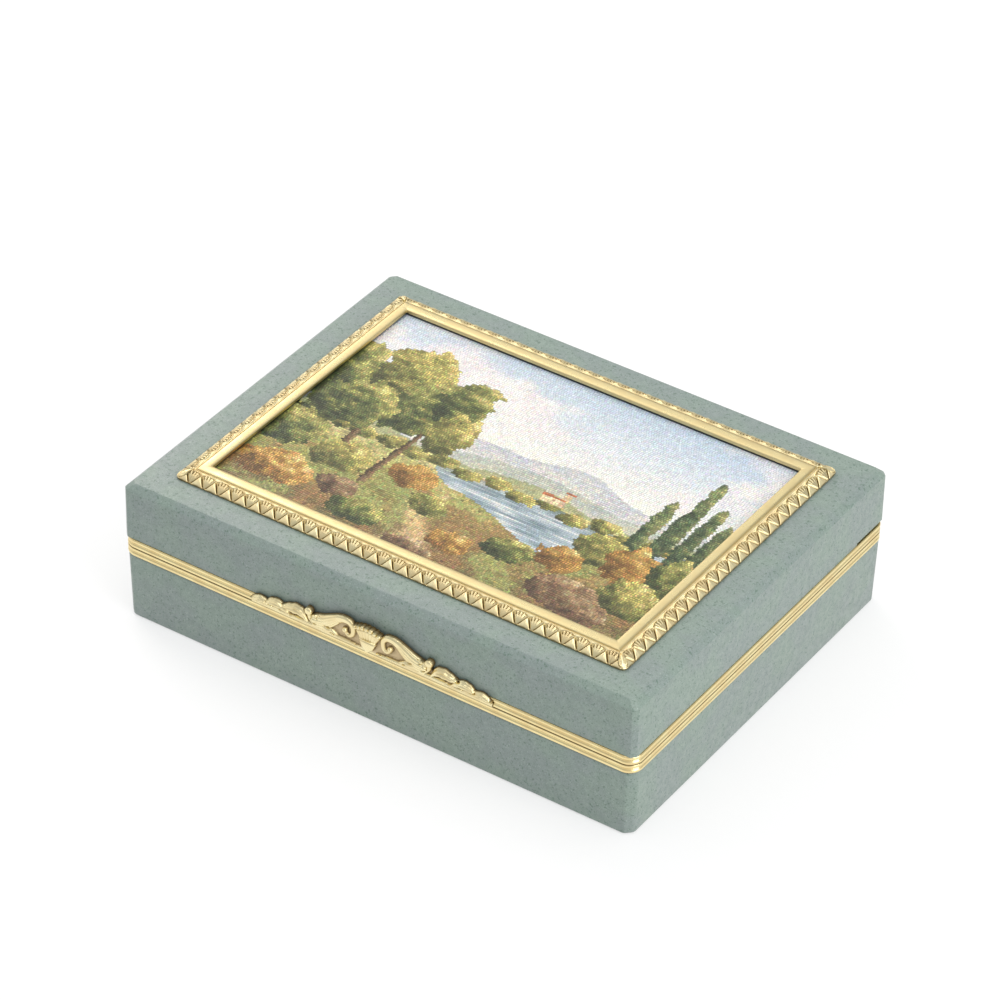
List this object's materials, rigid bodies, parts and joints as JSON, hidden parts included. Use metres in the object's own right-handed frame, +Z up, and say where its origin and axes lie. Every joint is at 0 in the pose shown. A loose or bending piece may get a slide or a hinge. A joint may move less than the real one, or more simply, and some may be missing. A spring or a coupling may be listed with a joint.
{
  "type": "micro mosaic snuff box",
  "caption": "Rectangular hardstone snuff box with a back-hinged lid in reeded gold rims, a cast thumbpiece and a framed micro mosaic landscape on the lid.",
  "frame": {"origin": "middle of the face that the base rests on", "axes": "+X along the box's width to the right, +Y towards the hinge at the back, +Z up through the lid"},
  "size_m": [0.0904, 0.0712, 0.0257],
  "materials": {
    "stone": "polished, speckled grey-green",
    "gold": "chased and burnished pale gold",
    "copper": "rolled copper sheet, dull",
    "mastic": "set mastic, matt",
    "tesserae": "ground and waxed glass tesserae"
  },
  "bodies": {
    "base": {"base_stone": "stone", "base_rim": "gold", "base_knuckle_1": "gold", "base_knuckle_2": "gold", "base_knuckle_3": "gold", "base_knuckle_4": "gold", "base_knuckle_5": "gold", "hinge_pin": "gold", "pin_cap_left": "gold", "pin_cap_right": "gold"},
    "lid": {"lid_stone": "stone", "lid_rim": "gold", "lid_knuckle_1": "gold", "lid_knuckle_2": "gold", "lid_knuckle_3": "gold", "lid_knuckle_4": "gold", "thumbpiece": "gold", "border_front": "gold", "border_right": "gold", "border_back": "gold", "border_left": "gold", "mosaic_bezel": "gold", "mosaic_tray": "copper", "mastic_bed": "mastic", "mosaic_tesserae": "tesserae", "frame_nut_1": "gold", "frame_nut_2": "gold", "frame_nut_3": "gold", "frame_nut_4": "gold"}
  },
  "joints": [
    {"name": "lid_hinge", "type": "hinge", "parent": "base", "child": "lid", "pos_m": [0, 0.03375, 0.0131], "axis": [-1, 0, 0], "range_deg": [0, 95]}
  ]
}
